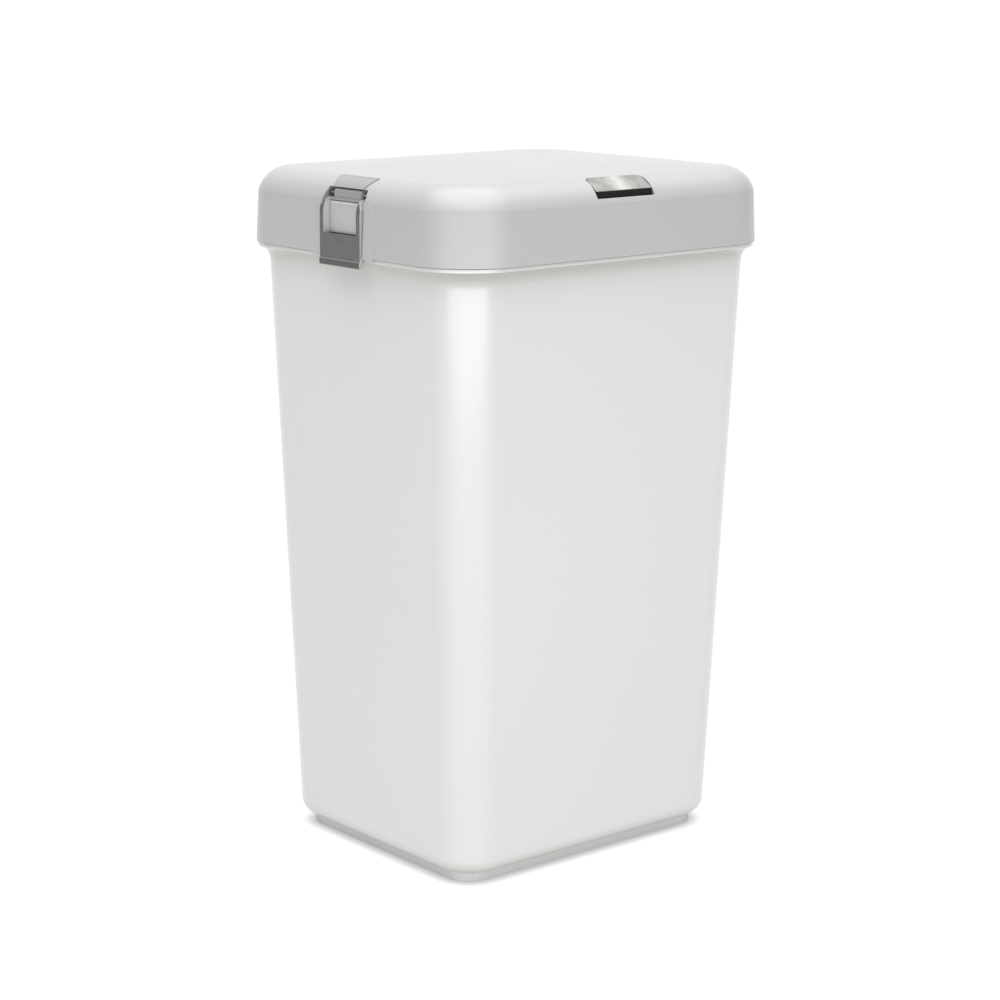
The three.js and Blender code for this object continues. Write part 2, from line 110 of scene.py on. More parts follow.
LATCH_Y = (arm_low.y + arm_high.y) / 2
LATCH_HALF = (arm_high.y - arm_low.y) / 2
LATCH_PIVOT_X = (pin_low.x + pin_high.x) / 2
LATCH_PIVOT_Z = (pin_low.z + pin_high.z) / 2
LATCH_PIN = (pin_high.z - pin_low.z) / 2
LATCH_KNUCKLE = 4.2
ARM_SHOULDER = 577.2
LIP_TOP = 528.6
LIP_LEDGE = 1.0
TAB_EDGE = 2.2
ROOM_MARGIN = 1.0
ROOM_TURN = 582.0
ROOM_TOP_HALF = 26.0
WINDOW_BOTTOM = 550.0
TAB_ROOM = 171.9
ARM_ROOM = 165.5
CHANNEL_FLOOR = 179.5
BOSS_HALF = 33.0
BOSS_BACK = 162.5
BOSS_FOOT = 169.3
BOSS_STEP = 552.5
BOSS_BOTTOM = 543.0
BOSS_TOP = 592.0
PAD_HALF = 43.0
PAD_BOTTOM = 531.5
PAD_TURN = 571.0
PAD_TOP = 579.0
COVER_BOTTOM = 588.0
COVER_TOP = 596.4
COVER_HALF_BOTTOM = 20.5
COVER_HALF_TOP = 26.0
COVER_PROUD = 0.7
COVER_SUNK = 1.7
COVER_SEAM = 0.15
ROOM_TOP = COVER_BOTTOM - COVER_SEAM + 0.01
TAB_TO_COVER = COVER_BOTTOM - 5

CATCH_HALF = lever_high.x
CATCH_REAR = -lever_high.y
CATCH_ROUND = 8.0
POCKET_MARGIN = 1.0
LEVER_PLATE_FOOT = 587.0
POCKET_FLOOR = 581.2
SCREW_X = 22.0
SCREW_Y = 124.0
SCREW_TOP = 595.0
SCREW_BOSS_BOTTOM = 590.8
SCREW_HOLE = 1.8
SCREW_BOSS = 4.0
STRIKE_HALF = 12.0
STRIKE_PROUD = 2.7
STRIKE_BOTTOM = 545.5
STRIKE_TOP = 548.5

# ---------------------------------------------------------------- meshes and cuts


def piece_from(name, points, faces):
    """A mesh object from points in millimetres."""
    mesh = bpy.data.meshes.new(name)
    mesh.from_pydata([tuple(value * MM for value in point) for point in points], [], faces)
    work = bmesh.new()
    work.from_mesh(mesh)
    bmesh.ops.recalc_face_normals(work, faces=work.faces)
    work.to_mesh(mesh)
    work.free()
    piece = bpy.data.objects.new(name, mesh)
    bpy.context.collection.objects.link(piece)
    return piece


def ring(half_x, half_y, corner, z, bow=0.0):
    """A closed rounded rectangle at height z. Even the least bow gives its four sides more points."""
    points = []
    for quarter, (side_x, side_y) in enumerate(((1, 1), (-1, 1), (-1, -1), (1, -1))):
        for step in range(CORNER_STEPS + 1):
            angle = (quarter + step / CORNER_STEPS) * math.pi / 2
            points.append((
                side_x * (half_x - corner) + corner * math.cos(angle),
                side_y * (half_y - corner) + corner * math.sin(angle), z))
        if bow:
            points += bowed_side(points[-1], half_x, half_y, corner, quarter, z, bow)
    return points


def bowed_side(start, half_x, half_y, corner, quarter, z, bow, count=12):
    """Points along the straight side that follows a corner, pushed outward most in its middle."""
    along = ((-1, 0), (0, -1), (1, 0), (0, 1))[quarter]
    outward = ((0, 1), (-1, 0), (0, -1), (1, 0))[quarter]
    length = 2 * ((half_x, half_y)[quarter % 2] - corner)
    points = []
    for step in range(1, count):
        t = step / count
        push = bow * math.sin(math.pi * t) ** 2
        points.append((
            start[0] + along[0] * length * t + outward[0] * push,
            start[1] + along[1] * length * t + outward[1] * push, z))
    return points


def loft(name, rings):
    """A closed solid through a stack of rings, its two ends closed round their middle points."""
    count = len(rings[0])
    points = [point for one in rings for point in one]
    faces = []
    for level in range(len(rings) - 1):
        for i in range(count):
            here = level * count + i
            after = level * count + (i + 1) % count
            faces.append((here, after, after + count, here + count))
    for end in (0, len(rings) - 1):
        middle = len(points)
        points.append((0.0, 0.0, rings[end][0][2]))
        for i in range(count):
            faces.append((middle, end * count + i, end * count + (i + 1) % count))
    return piece_from(name, points, faces)


def block(low, high):
    corners = [(x, y, z) for x in (low[0], high[0]) for y in (low[1], high[1]) for z in (low[2], high[2])]
    faces = [(0, 1, 3, 2), (4, 6, 7, 5), (0, 4, 5, 1), (2, 3, 7, 6), (0, 2, 6, 4), (1, 5, 7, 3)]
    return piece_from("block", corners, faces)


def prism(outline, place):
    """A solid between two copies of an outline; place(u, v, end) gives a point at end 0 or 1."""
    count = len(outline)
    points = [place(u, v, end) for end in (0, 1) for u, v in outline]
    faces = [tuple(range(count)), tuple(range(count, 2 * count))]
    faces += [(i, (i + 1) % count, (i + 1) % count + count, i + count) for i in range(count)]
    return piece_from("prism", points, faces)


def rod(axis, radius, start, end, first, second, steps=40):
    """A cylinder along an axis, at the other two coordinates in order."""
    angles = [2 * math.pi * i / steps for i in range(steps)]
    circle = [(first + radius * math.cos(a), second + radius * math.sin(a)) for a in angles]
    places = {
        "x": lambda u, v, t: (start + (end - start) * t, u, v),
        "y": lambda u, v, t: (u, start + (end - start) * t, v),
        "z": lambda u, v, t: (u, v, start + (end - start) * t),
    }
    return prism(circle, places[axis])


def combine(piece, others, operation):
    """Adds, subtracts or intersects other solids with a piece, and keeps the result as its mesh."""
    for other in others:
        step = piece.modifiers.new(operation, "BOOLEAN")
        step.operation = operation
        step.solver = "EXACT"
        step.object = other
        evaluated = piece.evaluated_get(bpy.context.evaluated_depsgraph_get())
        made = bpy.data.meshes.new_from_object(evaluated)
        piece.modifiers.clear()
        piece.data = made
        bpy.data.objects.remove(other)
    return piece


def joined(piece, *others):
    return combine(piece, others, "UNION")


def cut(piece, *others):
    return combine(piece, others, "DIFFERENCE")


def shared(piece, *others):
    return combine(piece, others, "INTERSECT")


def shifted(piece, side, y):
    """A piece drawn at the +X end, moved along Y and turned round the Z axis for the other end."""
    for vertex in piece.data.vertices:
        vertex.co.x *= side
        vertex.co.y = vertex.co.y * side + y * MM
    return piece


def smooth(piece, limit=30 * DEGREE):
    """Smooth shading, with hard edges where two faces meet at more than a limit."""
    work = bmesh.new()
    work.from_mesh(piece.data)
    bmesh.ops.remove_doubles(work, verts=work.verts, dist=0.01 * MM)
    bmesh.ops.dissolve_degenerate(work, edges=work.edges, dist=0.01 * MM)
    for face in work.faces:
        face.smooth = True
    for edge in work.edges:
        edge.smooth = len(edge.link_faces) == 2 and edge.calc_face_angle(0) < limit
    work.to_mesh(piece.data)
    work.free()


def nowhere(place):
    return False


def soften(piece, width, finer=nowhere, limit=35 * DEGREE, segments=3):
    """Small rounded edges, as a moulded part has, and finer ones in some places."""
    work = bmesh.new()
    work.from_mesh(piece.data)
    weight = work.edges.layers.float.new("bevel_weight_edge")
    for edge in work.edges:
        sharp = len(edge.link_faces) == 2 and edge.calc_face_angle(0) > limit
        small = finer((edge.verts[0].co + edge.verts[1].co) / 2 / MM)
        edge[weight] = (0.4 if small else 1.0) if sharp else 0.0
    work.to_mesh(piece.data)
    work.free()
    bevel = piece.modifiers.new("rounded_edges", "BEVEL")
    bevel.width = width * MM
    bevel.segments = segments
    bevel.limit_method = "WEIGHT"
    bevel.use_clamp_overlap = False
    bevel.loop_slide = False
    bevel.miter_outer = "MITER_ARC"
    normals = piece.modifiers.new("even_normals", "WEIGHTED_NORMAL")
    normals.keep_sharp = False
    normals.weight = 60


# ---------------------------------------------------------------- forms shared by several pieces


def fractions(count, first=0):
    return [i / count for i in range(first, count + 1)]


def lid_form(inset, bottom, name="lid_form"):
    """The lid's outer form moved inward by inset: a flared band, a rounded shoulder and a low crown."""
    radius = (LID_SHOULDER_TOP - LID_BAND_TOP) / (math.sin(SHOULDER_TO) - math.sin(SHOULDER_FROM))

    def at(run, z):
        return ring(LID_HALF_X - run, LID_HALF_Y - run, max(LID_CORNER - run, 12), z)

    def run_at(slope):
        return radius * (math.cos(SHOULDER_FROM) - math.cos(slope))

    flare = LID_FLARE * (LID_BAND_TOP - bottom) / (LID_BAND_TOP - LID_BOTTOM)
    stack = [at(inset - flare, bottom), at(inset, LID_BAND_TOP - inset * 0.3 - 0.8)]
    for t in fractions(16):
        slope = SHOULDER_FROM + t * (SHOULDER_TO - SHOULDER_FROM)
        rise = radius * (math.sin(slope) - math.sin(SHOULDER_FROM))
        stack.append(at(
            run_at(slope) + inset * math.cos(slope), LID_BAND_TOP + rise - inset * math.sin(slope)))
    edge = run_at(SHOULDER_TO) + inset * math.cos(SHOULDER_TO)
    for t in fractions(14, 1):
        z = LID_SHOULDER_TOP - inset + (LID_TOP - LID_SHOULDER_TOP) * (1 - (1 - t) ** 2)
        stack.append(at(edge + t * 90, z))
    return loft(name, stack)


def wall_at(z, inset=0.0):
    """Half length, half width and corner radius of the body's wall at a height."""
    t = (z - BODY_BOTTOM) / (COVE_BOTTOM - BODY_BOTTOM)
    return [
        BODY_HALF_X + BODY_DRAFT * t - inset, BODY_HALF_Y + BODY_DRAFT * t - inset,
        BODY_CORNER + BODY_CORNER_GROWTH * t - inset]


def shrunk(sizes, by):
    return [size - by for size in sizes]


def heel(bottom, radius, inset, count=10):
    stack = []
    for t in fractions(count):
        angle = t * math.pi / 2
        z = bottom + radius * (1 - math.cos(angle))
        sizes = shrunk(wall_at(z, inset), radius * (1 - math.sin(angle)))
        stack.append(ring(*sizes, z, bow=LEAST_BOW + END_BOW * t))
    return stack


def upright_prism(half_low, half_high, bottom, turn, top, start, end):
    """A prism along X with an upright outline whose two upper corners are cut back."""
    outline = [
        (-half_low, bottom), (half_low, bottom), (half_low, turn), (half_high, top), (-half_high, top),
        (-half_low, turn)]
    return prism(outline, lambda u, v, t: (start + (end - start) * t, u, v))


def cover_blank(margin):
    """The latch cover's plate on the shoulder, grown by a margin to cut its own seat."""
    low = COVER_BOTTOM - margin
    plate = upright_prism(
        COVER_HALF_BOTTOM + margin, COVER_HALF_TOP + margin, low, low + 0.5, COVER_TOP + margin,
        arm_high.x - 30, arm_high.x + 10)
    shared(plate, shifted(lid_form(-COVER_PROUD - margin, LID_BOTTOM), 1, -LATCH_Y))
    return cut(plate, shifted(lid_form(COVER_SUNK + margin, LID_BOTTOM), 1, -LATCH_Y))


# ---------------------------------------------------------------- pieces


def make_body():
    """The tapered body: outside from the underside up to the rim, then down the inside to the floor."""
    wall = wall_at(COVE_BOTTOM)
    outside = heel(BODY_BOTTOM, BODY_HEEL, 0)
    for t in fractions(14, 1):
        z = BODY_BOTTOM + BODY_HEEL + t * (COVE_BOTTOM - BODY_BOTTOM - BODY_HEEL)
        bow = END_BOW + (BODY_BOW - END_BOW) * math.sin(math.pi * t)
        outside.append(ring(*wall_at(z), z, bow=bow))
    for t in fractions(10, 1):
        angle = t * math.pi / 2
        run = 1 - math.cos(angle)
        sizes = [value + (edge - value) * run for value, edge in zip(wall, FLANGE)]
        z = COVE_BOTTOM + (COVE_TOP - COVE_BOTTOM) * math.sin(angle)
        outside.append(ring(*sizes, z, bow=LEAST_BOW))
    outside.append(ring(*FLANGE, FLANGE_TOP, bow=LEAST_BOW))
    outside.append(ring(*RIM, FLANGE_TOP, bow=LEAST_BOW))
    outside.append(ring(*RIM, RIM_TOP, bow=LEAST_BOW))
    rim = shrunk(RIM, BODY_WALL)
    inside = [ring(*rim, RIM_TOP, bow=LEAST_BOW), ring(*rim, FLANGE_TOP, bow=LEAST_BOW)]
    inside.append(ring(*wall_at(COVE_BOTTOM, BODY_WALL), COVE_BOTTOM, bow=END_BOW))
    inside += reversed(heel(BODY_BOTTOM + BODY_FLOOR, INNER_HEEL, BODY_WALL))
    body = loft("body_fine", outside + inside)

    wall_outer = wall_at(HINGE_Z)[1]
    for side in (-1, 1):
        x = side * HINGE_SPREAD
        half = HINGE_WIDTH / 2
        reach = half + HINGE_LUG
        joined(body, block(
            (x - reach, wall_outer - 1, HINGE_Z - HINGE_LUG_DROP),
            (x + reach, HINGE_Y + HINGE_KNUCKLE, HINGE_Z + HINGE_LUG_RISE)))
        clear = half + HINGE_SIDE_GAP
        notch = block(
            (x - clear, wall_outer + 1.1, HINGE_Z - 8), (x + clear, HINGE_Y + 20, HINGE_Z + 30))
        cut(notch, block((x - 20, 0, HINGE_Z + 10.5), (x + 20, RIM[1] + 0.6, HINGE_Z + 40)))
        bore = rod("x", HINGE_PIN + GAP, x - reach + 1.5, x + reach + 1, HINGE_Y, HINGE_Z)
        cut(body, notch, bore)
    return joined(body, block(
        (-STRIKE_HALF, -RIM[1] - STRIKE_PROUD, STRIKE_BOTTOM), (STRIKE_HALF, -RIM[1] + 1, STRIKE_TOP)))


def latch_room():
    """The channel down the band and the pocket behind the tab and knuckle, up to the cover's seat, with
    the bore of the latch pin.
    """
    far = arm_high.x + 10
    half = LATCH_HALF + ROOM_MARGIN
    low = PAD_BOTTOM - 10
    room = block((CHANNEL_FLOOR, -half, low), (far, half, WINDOW_BOTTOM))
    joined(room, block((TAB_ROOM, -half, WINDOW_BOTTOM - 2.5), (far, half, WINDOW_BOTTOM + 10)))
    joined(room, block((ARM_ROOM, -half, WINDOW_BOTTOM + 6), (far, half, LATCH_PIVOT_Z)))
    joined(room, block((LATCH_PIVOT_X, -half, LATCH_PIVOT_Z - 1), (far, half, ROOM_TOP)))
    joined(room, rod("y", LATCH_KNUCKLE + 0.5, -half, half, LATCH_PIVOT_X, LATCH_PIVOT_Z))
    shared(room, upright_prism(half, ROOM_TOP_HALF, low, ROOM_TURN, ROOM_TOP, ARM_ROOM - 5, far))
    reach = BOSS_HALF - 1.5
    joined(room, rod("y", LATCH_PIN + GAP, -reach, reach, LATCH_PIVOT_X, LATCH_PIVOT_Z))
    return room


def latch_boss():
    upper = block((BOSS_BACK, -BOSS_HALF, BOSS_STEP), (LID_HALF_X, BOSS_HALF, BOSS_TOP))
    joined(upper, block((BOSS_FOOT, -BOSS_HALF, BOSS_BOTTOM), (LID_HALF_X, BOSS_HALF, BOSS_STEP + 1)))
    return shared(upper, shifted(lid_form(1, LID_BOTTOM), 1, -LATCH_Y))


def latch_pad():
    """The low raised pad round each latch."""
    pad = upright_prism(
        PAD_HALF, PAD_HALF - 8, PAD_BOTTOM, PAD_TURN, PAD_TOP, LID_HALF_X - 15, LID_HALF_X + 15)
    shared(pad, shifted(lid_form(-LID_PAD_PROUD, PAD_BOTTOM), 1, -LATCH_Y))
    cut(pad, shifted(lid_form(1, PAD_BOTTOM - 1), 1, -LATCH_Y))
    return cut(pad, block((0, -100, 500), (LID_HALF_X + LID_FLARE - 1.4, 100, LID_BOTTOM + 0.01)))


def catch_pocket():
    """The opening in the front shoulder that the lever shows through."""
    half = CATCH_HALF + POCKET_MARGIN
    rear = -CATCH_REAR + POCKET_MARGIN
    outline = [(-half, -LID_HALF_Y - 5), (half, -LID_HALF_Y - 5)]
    for side in (1, -1):
        arc = [
            (side * (half - CATCH_ROUND * (1 - math.cos(t * math.pi / 2))),
             rear - CATCH_ROUND * (1 - math.sin(t * math.pi / 2))) for t in fractions(8)]
        outline += arc if side > 0 else arc[::-1]
    span = LID_TOP + 5 - POCKET_FLOOR
    return prism(outline, lambda u, v, t: (u, v, POCKET_FLOOR + span * t))


def make_lid():
    lid = lid_form(0, LID_BOTTOM, "lid_fine")
    cut(lid, lid_form(LID_WALL, LID_BOTTOM - 5))
    for side in (-1, 1):
        x = side * HINGE_SPREAD
        half = HINGE_WIDTH / 2
        joined(lid, block(
            (x - half, HINGE_Y - HINGE_EAR_FRONT, HINGE_Z),
            (x + half, HINGE_Y + HINGE_EAR_BACK, LID_BOTTOM + HINGE_EAR_ROOT)))
        joined(lid, rod("x", HINGE_KNUCKLE, x - half, x + half, HINGE_Y, HINGE_Z))
        cut(lid, rod("x", HINGE_PIN + GAP, x - 2 * half, x + 2 * half, HINGE_Y, HINGE_Z))
    for side in (-1, 1):
        joined(lid, shifted(latch_boss(), side, LATCH_Y), shifted(latch_pad(), side, LATCH_Y))
        cut(lid, shifted(latch_room(), side, LATCH_Y), shifted(cover_blank(COVER_SEAM), side, LATCH_Y))
        x = side * SCREW_X
        joined(lid, rod("z", SCREW_BOSS, SCREW_BOSS_BOTTOM, SCREW_TOP, x, -SCREW_Y))
        cut(lid, rod("z", SCREW_HOLE, SCREW_BOSS_BOTTOM - 1, SCREW_TOP, x, -SCREW_Y))
    return cut(lid, catch_pocket())


def fine_lid_edge(place):
    """The lid's lower rim, its band and the seats of the latch covers have the smallest radii."""
    return place.z < PAD_TOP + 1 or (place.z > COVER_BOTTOM - 1 and abs(place.x) > BOSS_BACK - 10)


def make_cover(side, name):
    cover = cover_blank(0)
    cut(cover, rod("y", LATCH_KNUCKLE + 0.8, -40, 40, LATCH_PIVOT_X, LATCH_PIVOT_Z))
    cover.name = name
    return shifted(cover, side, LATCH_Y)


# ---------------------------------------------------------------- materials


class Shader:
    """A node material built round one Principled BSDF, with small helpers for its variations."""

    def __init__(self, name, colour, roughness, metallic=0.0):
        self.material = bpy.data.materials.new(name)
        self.material.use_nodes = True
        self.nodes = self.material.node_tree.nodes
        self.links = self.material.node_tree.links
        self.principled = self.nodes["Principled BSDF"]
        self.principled.inputs["Base Color"].default_value = (*colour, 1)
        self.principled.inputs["Roughness"].default_value = roughness
        self.principled.inputs["Metallic"].default_value = metallic
        coordinates = self.nodes.new("ShaderNodeTexCoord").outputs
        self.place = coordinates["Object"]
        self.normal = coordinates["Normal"]
        self.height = None

    def noise(self, scale, detail=3.0, stretch=(1, 1, 1)):
        mapping = self.nodes.new("ShaderNodeMapping")
        mapping.inputs["Scale"].default_value = stretch
        self.links.new(self.place, mapping.inputs["Vector"])
        texture = self.nodes.new("ShaderNodeTexNoise")
        texture.inputs["Scale"].default_value = scale
        texture.inputs["Detail"].default_value = detail
        self.links.new(mapping.outputs["Vector"], texture.inputs["Vector"])
        return texture.outputs["Fac"]

    def spread(self, value, low, high, start=0.3, end=0.7):
        """Maps a noise value onto a range."""
        ramp = self.nodes.new("ShaderNodeMapRange")
        ramp.inputs["From Min"].default_value = start
        ramp.inputs["From Max"].default_value = end
        ramp.inputs["To Min"].default_value = low
        ramp.inputs["To Max"].default_value = high
        self.links.new(value, ramp.inputs["Value"])
        return ramp.outputs["Result"]

    def mix(self, factor, first, second):
        """A colour between two colours."""
        node = self.nodes.new("ShaderNodeMix")
        node.data_type = "RGBA"
        for socket, colour in ((node.inputs["A"], first), (node.inputs["B"], second)):
            if isinstance(colour, bpy.types.NodeSocket):
                self.links.new(colour, socket)
            else:
                socket.default_value = (*colour, 1)
        self.links.new(factor, node.inputs["Factor"])
        return node.outputs["Result"]

    def along(self, axis, vector=None):
        """One coordinate of the place on the piece, or of another vector."""
        parts = self.nodes.new("ShaderNodeSeparateXYZ")
        self.links.new(vector or self.place, parts.inputs["Vector"])
        return parts.outputs[axis]

    def calculate(self, operation, *values):
        node = self.nodes.new("ShaderNodeMath")
        node.operation = operation
        for value, socket in zip(values, node.inputs):
            self.links.new(value, socket)
        return node.outputs["Value"]

    def size_of(self, value):
        return self.calculate("ABSOLUTE", value)

    def either(self, first, second):
        return self.calculate("MAXIMUM", first, second)

    def openness(self, reach):
        """1 on open surfaces, falling towards 0 in crevices within a reach in millimetres."""
        node = self.nodes.new("ShaderNodeAmbientOcclusion")
        node.inputs["Distance"].default_value = reach * MM
        node.samples = 8
        return node.outputs["AO"]

    def feed(self, socket, value):
        self.links.new(value, self.principled.inputs[socket])

    def bump(self, value, strength, distance):
        """Adds one more layer of surface height, distance in millimetres."""
        node = self.nodes.new("ShaderNodeBump")
        node.inputs["Strength"].default_value = strength
        node.inputs["Distance"].default_value = distance * MM
        self.links.new(value, node.inputs["Height"])
        if self.height:
            self.links.new(self.height, node.inputs["Normal"])
        self.height = node.outputs["Normal"]
        self.feed("Normal", self.height)


def moulded_plastic(name, colour, shade, crevice_shade, roughness, coat_roughness):
    """Glossy injection-moulded plastic: faint clouding, uneven gloss, orange peel, painted shade in
    crevices.
    """
    shader = Shader(name, colour, roughness)
    clouding = shader.spread(shader.noise(5, 1), 0, 1)
    clean = shader.mix(clouding, colour, shade)
    # Painted shade: crevices and hollows are painted darker, towards the crevice colour.
    open_surface = shader.spread(shader.openness(CREVICE_REACH), 0, 1, 0.2, 0.9)
    shader.feed("Base Color", shader.mix(open_surface, crevice_shade, clean))
    shader.feed("Roughness", shader.spread(shader.noise(12, 1), roughness * 0.95, roughness * 1.06))
    shader.bump(shader.noise(420, 1), 0.12, 0.02)
    shader.principled.inputs["Coat Weight"].default_value = 1.0
    shader.principled.inputs["Coat Roughness"].default_value = coat_roughness
    return shader


def shade_cove(shader, colour):
    """Painted shade: the hollow under the body's flange is painted darker, up to the flange's own edge.
    """
    height = shader.along("Z")
    above = shader.spread(height, 0, 1, (COVE_BOTTOM + 2) * MM, (COVE_TOP - 4) * MM)
    below = shader.spread(height, 1, 0, COVE_TOP * MM, (COVE_TOP + 0.6) * MM)
    under = shader.principled.inputs["Base Color"].links[0].from_socket
    shader.feed("Base Color", shader.mix(shader.calculate("MINIMUM", above, below), under, colour))


def plated(name, colour, shade, roughness, metallic, grain):
    """Plated or metallised trim with a fine grain and slightly uneven polish."""
    shader = Shader(name, colour, roughness, metallic)
    shader.feed("Base Color", shader.mix(shader.spread(shader.noise(120, 2), 0, 1), colour, shade))
    shader.feed("Roughness", shader.spread(shader.noise(160, 3), roughness * 0.85, roughness * 1.15))
    shader.bump(shader.noise(60, 1), 0.12, 0.04)
    shader.bump(shader.noise(grain, 2, (1, 0.08, 1)), 0.10, 0.006)
    return shader


def matte_plastic(name, colour, shade, crevice_shade, roughness):
    """Fine-textured matte plastic with scuffs, and painted shade in its crevices."""
    shader = Shader(name, colour, roughness)
    scuffed = shader.mix(shader.spread(shader.noise(45, 4), 0, 1), colour, shade)
    # Painted shade: crevices and hollows are painted darker, towards the crevice colour.
    open_surface = shader.spread(shader.openness(10), 0, 1, 0.45, 0.95)
    shader.feed("Base Color", shader.mix(open_surface, crevice_shade, scuffed))
    shader.feed("Roughness", shader.spread(shader.noise(90, 3), roughness * 0.9, min(1, roughness * 1.1)))
    shader.bump(shader.noise(1400, 2), 0.25, 0.03)
    return shader


def painted_where(shader, mask, colour, metallic):
    """Paints the part of a plated piece where a mask is 1."""
    under = shader.principled.inputs["Base Color"].links[0].from_socket
    shader.feed("Base Color", shader.mix(mask, under, colour))
    if not shader.principled.inputs["Metallic"].is_linked:
        plating = shader.principled.inputs["Metallic"].default_value
        shader.feed("Metallic", shader.spread(mask, plating, metallic, 0, 1))


def highlight_middle(shader, near, far, colour):
    """A painted highlight across the middle of a lever, from one distance off its centre to another."""
    middle = shader.spread(shader.size_of(shader.along("X")), 1, 0, near * MM, far * MM)
    painted_where(shader, middle, colour, 1.0)


def shade_front(shader, front_y, foot_z, colour):
    """Painted shade and painted dark reflection: the upright strip at a lever's front and the stem below
    it are painted near-black metal instead of plated.
    """
    strip = shader.spread(shader.along("Y"), 1, 0, (front_y + 0.25) * MM, (front_y + 0.45) * MM)
    stem = shader.spread(shader.along("Z"), 1, 0, (foot_z - 0.1) * MM, (foot_z + 0.1) * MM)
    painted_where(shader, shader.either(strip, stem), colour, 1.0)


def paint_bands(shader, bands):
    """Paints bands of light and shade onto a piece by height: each band is an edge, whether it lies above
    it, and its colour.
    """
    height = shader.along("Z")
    for edge, above, colour in bands:
        low, high = (0, 1) if above else (1, 0)
        mask = shader.spread(height, low, high, (edge - 0.1) * MM, (edge + 0.1) * MM)
        painted_where(shader, mask, colour, 0.4)


def sheen_sides(shader, colour):
    """Painted sheen: the faces of a latch arm that look along Y are painted brighter than its broad
    faces.
    """
    facing = shader.size_of(shader.along("Y", shader.normal))
    painted_where(shader, shader.spread(facing, 0, 1, 0.6, 0.8), colour, 0.4)


def make_materials():
    chrome = plated("chrome", (0.60, 0.60, 0.575), (0.44, 0.44, 0.41), 0.16, 1.0, 1200)
    # Painted highlight: the chrome lever's middle is painted lighter.
    highlight_middle(chrome, 1, 13, (0.86, 0.86, 0.84))
    # Painted shade: the lever's front strip and the stem below it are painted near black.
    shade_front(chrome, lever_low.y, LEVER_PLATE_FOOT, (0.022, 0.022, 0.021))
    gunmetal = plated("gunmetal", (0.135, 0.135, 0.135), (0.12, 0.12, 0.12), 0.38, 0.4, 900)
    # Painted light and shade on the latch arms by height: the knuckle above the shoulder is painted
    # lighter as if lit from above, a painted highlight runs along the lip's ledge, and the lip below it
    # is painted darker.
    paint_bands(gunmetal, (
        (ARM_SHOULDER, True, (0.30, 0.305, 0.31)),
        (LIP_TOP + LIP_LEDGE, False, (0.22, 0.225, 0.23)),
        (LIP_TOP, False, (0.09, 0.09, 0.09))))
    # Painted sheen: the arms' faces that look along Y are painted brighter.
    sheen_sides(gunmetal, (0.48, 0.48, 0.475))
    silver = plated("silver_metallised", (0.37, 0.378, 0.38), (0.345, 0.352, 0.36), 0.34, 0.5, 900)
    # Painted light on the silver pieces by height: the tab is painted lighter than the cover, offsetting
    # the shade of its recess, and a painted highlight runs along its top edge.
    paint_bands(silver, (
        (TAB_TO_COVER, False, (0.47, 0.475, 0.475)),
        (tab_top - TAB_EDGE, True, (0.62, 0.63, 0.63)),
        (TAB_TO_COVER, True, (0.365, 0.372, 0.375))))
    white = moulded_plastic(
        "white_gloss", (0.54, 0.54, 0.532), (0.533, 0.533, 0.524), (0.42, 0.415, 0.39), 0.34, 0.2)
    # Painted shade in the hollow under the body's flange.
    shade_cove(white, (0.37, 0.365, 0.33))
    shaders = {
        "body_white": white,
        "lid_grey": moulded_plastic(
            "grey_gloss", (0.368, 0.368, 0.368), (0.362, 0.362, 0.362), (0.28, 0.28, 0.275), 0.40, 0.42),
        "foot_pale": matte_plastic(
            "pale_foot", (0.66, 0.66, 0.65), (0.63, 0.63, 0.62), (0.46, 0.46, 0.45), 0.6),
        "latch_silver": silver,
        "latch_gunmetal": gunmetal,
        "catch_chrome": chrome,
        "inner_grey": matte_plastic(
            "inner_grey", (0.30, 0.30, 0.31), (0.26, 0.26, 0.27), (0.16, 0.16, 0.16), 0.55),
        "pin_steel": plated("steel", (0.50, 0.50, 0.50), (0.44, 0.44, 0.45), 0.28, 1.0, 2000),
    }
    return {slot: shader.material for slot, shader in shaders.items()}


def dress(piece, material):
    piece.data.materials.clear()
    piece.data.materials.append(material)


# ---------------------------------------------------------------- stage, light and camera

CAMERA_AZIMUTH = -38.8945 * DEGREE
CAMERA_ELEVATION = 13.3928 * DEGREE
CAMERA_DISTANCE = 2.31212
CAMERA_LENS = 92.868
CAMERA_SHIFT = 0.06
AIM_SIDE = -0.05738
AIM_RISE = -0.05396

# Brightness, where 1 is the white of the background, and the cosines between which one fades into
# the next: against the camera's heading, against its right and against the vertical.
ROOM_BEHIND = 1.03
ROOM_IN_FRONT = 0.32
ROOM_FADE = (-0.965, -0.5)
SKY = 0.96
SKY_AT_SIDES = 0.55
SKY_FADE = (0.3, 0.9)
HORIZON_FADE = (0.12, 0.42)
FLOOR_GLOW = 0.99
OVERHEAD = 3.3
OVERHEAD_SPREAD = 85 * DEGREE
OVERHEAD_TILT = (5 * DEGREE, -3 * DEGREE, 0)
PANEL = 2.7
FLOOR_REACH = 9000
FLOOR_SHADOW = 0.35
FLOOR_SHADOW_REACH = 16


def direction(azimuth, elevation):
    """From the object towards a point seen at an azimuth from the front and an elevation."""
    return Vector((
        math.sin(azimuth) * math.cos(elevation), -math.cos(azimuth) * math.cos(elevation),
        math.sin(elevation)))


